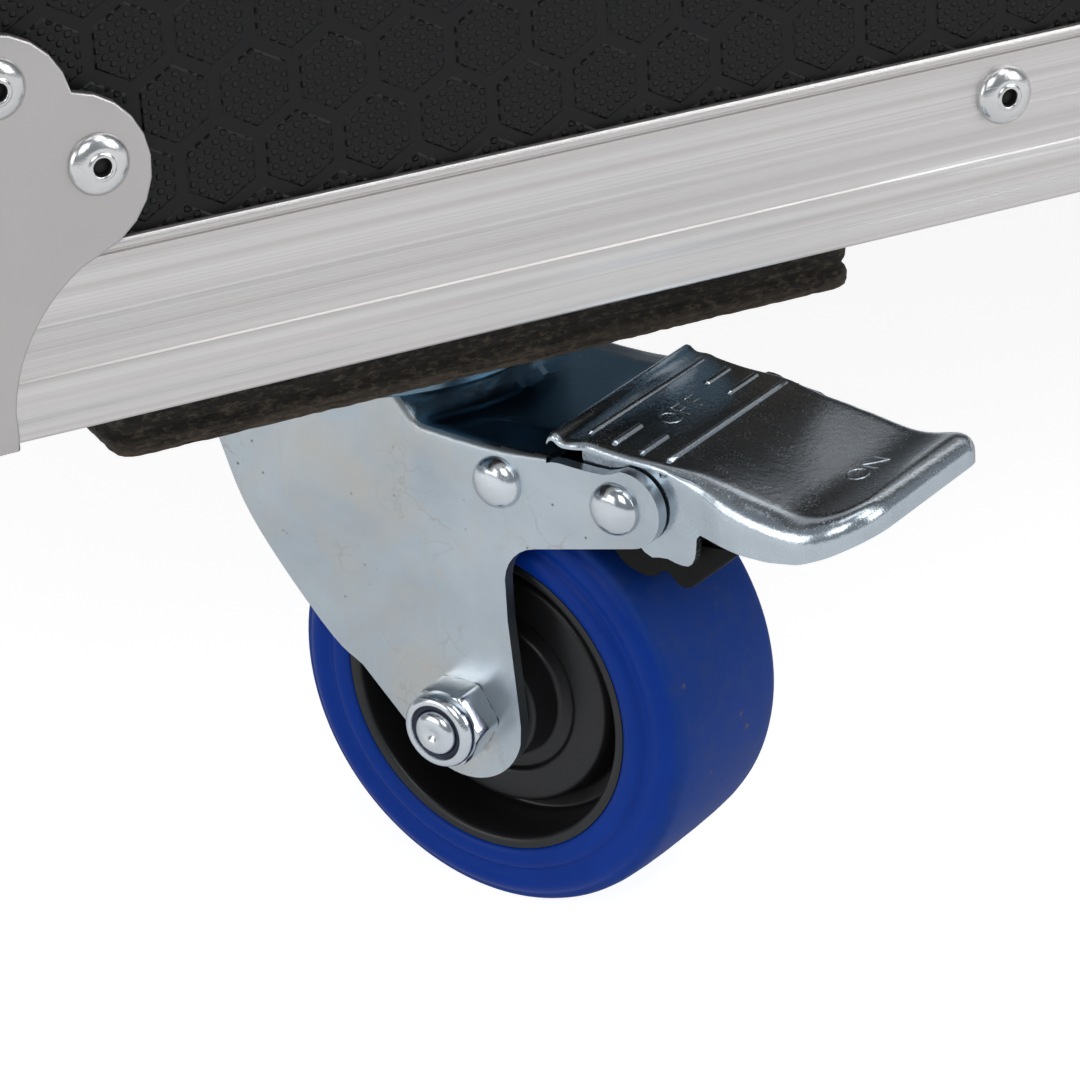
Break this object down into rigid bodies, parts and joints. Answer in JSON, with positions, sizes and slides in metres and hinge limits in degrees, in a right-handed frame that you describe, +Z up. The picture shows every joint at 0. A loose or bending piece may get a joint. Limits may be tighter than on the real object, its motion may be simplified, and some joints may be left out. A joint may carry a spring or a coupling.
{
  "type": "lighting fixture flight case",
  "caption": "Panel case with aluminium edging, ball corners, hinged lid, turn latches, recessed handles and foam cradle, on swivel castors with lock pedals.",
  "frame": {"origin": "on the ground, under the middle of the closed case with its castors, pedals and hinges", "axes": "+X along the front to the right as seen from the front, +Y to the back where the hinges are, +Z up"},
  "size_m": [0.8178, 0.6116, 0.6886],
  "materials": {
    "laminate": "black laminate on plywood, embossed with honeycomb",
    "edging_aluminium": "extruded, fine lengthwise ribs",
    "corner_steel": "zinc plated, satin",
    "rivet_zinc": "bright zinc, small scratches",
    "zinc_bright": "bright zinc",
    "foam": "dark grey open-cell foam",
    "board_wood": "dark stained plywood",
    "dish_zinc": "pressed, zinc plated",
    "hinge_zinc": "zinc plated",
    "latch_zinc": "zinc plated, polished",
    "handle_rubber": "black sleeve over a plated bail",
    "fork_zinc": "pale blue zinc with brown traces",
    "ball_steel": "polished",
    "pedal_zinc": "bright zinc, dark reflections",
    "brake_black": "black",
    "tyre_blue": "elastic blue rubber, soft sheen",
    "hub_black": "moulded black plastic"
  },
  "bodies": {
    "base": {"base_front_panel": "laminate", "base_back_panel": "laminate", "base_end_panels": "laminate", "base_floor_panel": "laminate", "base_bottom_edges": "edging_aluminium", "base_upright_edges": "edging_aluminium", "base_rim_edges": "edging_aluminium", "base_ball_corners": "corner_steel", "base_rim_corners": "corner_steel", "base_rivets": "rivet_zinc", "base_foam_cradle": "foam", "latch_dishes": "dish_zinc", "handle_dishes": "dish_zinc", "hinge_base_leaves": "hinge_zinc", "hinge_pins": "hinge_zinc", "castor_boards": "board_wood", "castor_top_plates": "fork_zinc", "castor_bolts": "zinc_bright", "castor_balls": "ball_steel"},
    "lid": {"lid_front_panel": "laminate", "lid_back_panel": "laminate", "lid_end_panels": "laminate", "lid_top_panel": "laminate", "lid_top_edges": "edging_aluminium", "lid_upright_edges": "edging_aluminium", "lid_rim_edges": "edging_aluminium", "lid_ball_corners": "corner_steel", "lid_rim_corners": "corner_steel", "lid_rivets": "rivet_zinc", "lid_foam": "foam", "latch_keepers": "dish_zinc", "hinge_lid_leaves": "hinge_zinc"},
    "left_latch": {"left_latch_cam": "latch_zinc"},
    "right_latch": {"right_latch_cam": "latch_zinc"},
    "left_wing": {"left_latch_wing": "latch_zinc"},
    "right_wing": {"right_latch_wing": "latch_zinc"},
    "left_handle": {"left_handle": "handle_rubber"},
    "right_handle": {"right_handle": "handle_rubber"},
    "front_left_swivel": {"front_left_fork": "fork_zinc", "front_left_axle_set": "zinc_bright", "front_left_pivot_rivets": "zinc_bright"},
    "front_left_wheel": {"front_left_tyre": "tyre_blue", "front_left_hub": "hub_black"},
    "front_left_pedal": {"front_left_pedal": "pedal_zinc"},
    "front_left_brake": {"front_left_brake_shoe": "brake_black"},
    "front_right_swivel": {"front_right_fork": "fork_zinc", "front_right_axle_set": "zinc_bright", "front_right_pivot_rivets": "zinc_bright"},
    "front_right_wheel": {"front_right_tyre": "tyre_blue", "front_right_hub": "hub_black"},
    "front_right_pedal": {"front_right_pedal": "pedal_zinc"},
    "front_right_brake": {"front_right_brake_shoe": "brake_black"},
    "rear_left_swivel": {"rear_left_fork": "fork_zinc", "rear_left_axle_set": "zinc_bright"},
    "rear_left_wheel": {"rear_left_tyre": "tyre_blue", "rear_left_hub": "hub_black"},
    "rear_right_swivel": {"rear_right_fork": "fork_zinc", "rear_right_axle_set": "zinc_bright"},
    "rear_right_wheel": {"rear_right_tyre": "tyre_blue", "rear_right_hub": "hub_black"}
  },
  "joints": [
    {"name": "lid_hinge", "type": "hinge", "parent": "base", "child": "lid", "pos_m": [0, 0.30139, 0.4996], "axis": [-1, 0, 0], "range_deg": [0, 105]},
    {"name": "left_latch_turn", "type": "hinge", "parent": "base", "child": "left_latch", "pos_m": [-0.2, -0.26161, 0.4756], "axis": [0, -1, 0], "range_deg": [0, 180]},
    {"name": "left_wing_fold", "type": "hinge", "parent": "left_latch", "child": "left_wing", "pos_m": [-0.2, -0.26161, 0.4756], "axis": [-1, 0, 0], "range_deg": [0, 90]},
    {"name": "right_latch_turn", "type": "hinge", "parent": "base", "child": "right_latch", "pos_m": [0.2, -0.26161, 0.4756], "axis": [0, -1, 0], "range_deg": [0, 180]},
    {"name": "right_wing_fold", "type": "hinge", "parent": "right_latch", "child": "right_wing", "pos_m": [0.2, -0.26161, 0.4756], "axis": [-1, 0, 0], "range_deg": [0, 90]},
    {"name": "left_handle_swing", "type": "hinge", "parent": "base", "child": "left_handle", "pos_m": [-0.3905, 0.01639, 0.3716], "axis": [0, 1, 0], "range_deg": [0, 90]},
    {"name": "right_handle_swing", "type": "hinge", "parent": "base", "child": "right_handle", "pos_m": [0.3905, 0.01639, 0.3716], "axis": [0, -1, 0], "range_deg": [0, 90]},
    {"name": "front_left_swivel_turn", "type": "hinge", "parent": "base", "child": "front_left_swivel", "pos_m": [-0.27275, -0.20061, 0.095], "axis": [0, 0, 1], "continuous": true},
    {"name": "front_left_wheel_spin", "type": "hinge", "parent": "front_left_swivel", "child": "front_left_wheel", "pos_m": [-0.25709, -0.22736, 0.04], "axis": [0.863, 0.5052, 0], "continuous": true},
    {"name": "front_left_pedal_press", "type": "hinge", "parent": "front_left_swivel", "child": "front_left_pedal", "pos_m": [-0.24001, -0.25653, 0.0858], "axis": [0.863, 0.5052, 0], "range_deg": [0, 14]},
    {"name": "front_left_brake_press", "type": "hinge", "parent": "front_left_swivel", "child": "front_left_brake", "pos_m": [-0.25183, -0.23634, 0.0858], "axis": [0.863, 0.5052, 0], "range_deg": [0, 5]},
    {"name": "front_right_swivel_turn", "type": "hinge", "parent": "base", "child": "front_right_swivel", "pos_m": [0.27275, -0.20061, 0.095], "axis": [0, 0, 1], "continuous": true},
    {"name": "front_right_wheel_spin", "type": "hinge", "parent": "front_right_swivel", "child": "front_right_wheel", "pos_m": [0.25709, -0.22736, 0.04], "axis": [0.863, -0.5052, 0], "continuous": true},
    {"name": "front_right_pedal_press", "type": "hinge", "parent": "front_right_swivel", "child": "front_right_pedal", "pos_m": [0.24001, -0.25653, 0.0858], "axis": [0.863, -0.5052, 0], "range_deg": [0, 14]},
    {"name": "front_right_brake_press", "type": "hinge", "parent": "front_right_swivel", "child": "front_right_brake", "pos_m": [0.25183, -0.23634, 0.0858], "axis": [0.863, -0.5052, 0], "range_deg": [0, 5]},
    {"name": "rear_left_swivel_turn", "type": "hinge", "parent": "base", "child": "rear_left_swivel", "pos_m": [-0.27275, 0.23339, 0.095], "axis": [0, 0, 1], "continuous": true},
    {"name": "rear_left_wheel_spin", "type": "hinge", "parent": "rear_left_swivel", "child": "rear_left_wheel", "pos_m": [-0.2873, 0.26076, 0.04], "axis": [-0.8829, -0.4695, 0], "continuous": true},
    {"name": "rear_right_swivel_turn", "type": "hinge", "parent": "base", "child": "rear_right_swivel", "pos_m": [0.27275, 0.23339, 0.095], "axis": [0, 0, 1], "continuous": true},
    {"name": "rear_right_wheel_spin", "type": "hinge", "parent": "rear_right_swivel", "child": "rear_right_wheel", "pos_m": [0.28634, 0.26125, 0.04], "axis": [-0.8988, 0.4384, 0], "continuous": true}
  ],
  "couplings": [
    {"joint": "front_left_brake_press", "follows": "front_left_pedal_press", "ratio": 0.35704},
    {"joint": "front_right_brake_press", "follows": "front_right_pedal_press", "ratio": 0.35704}
  ]
}
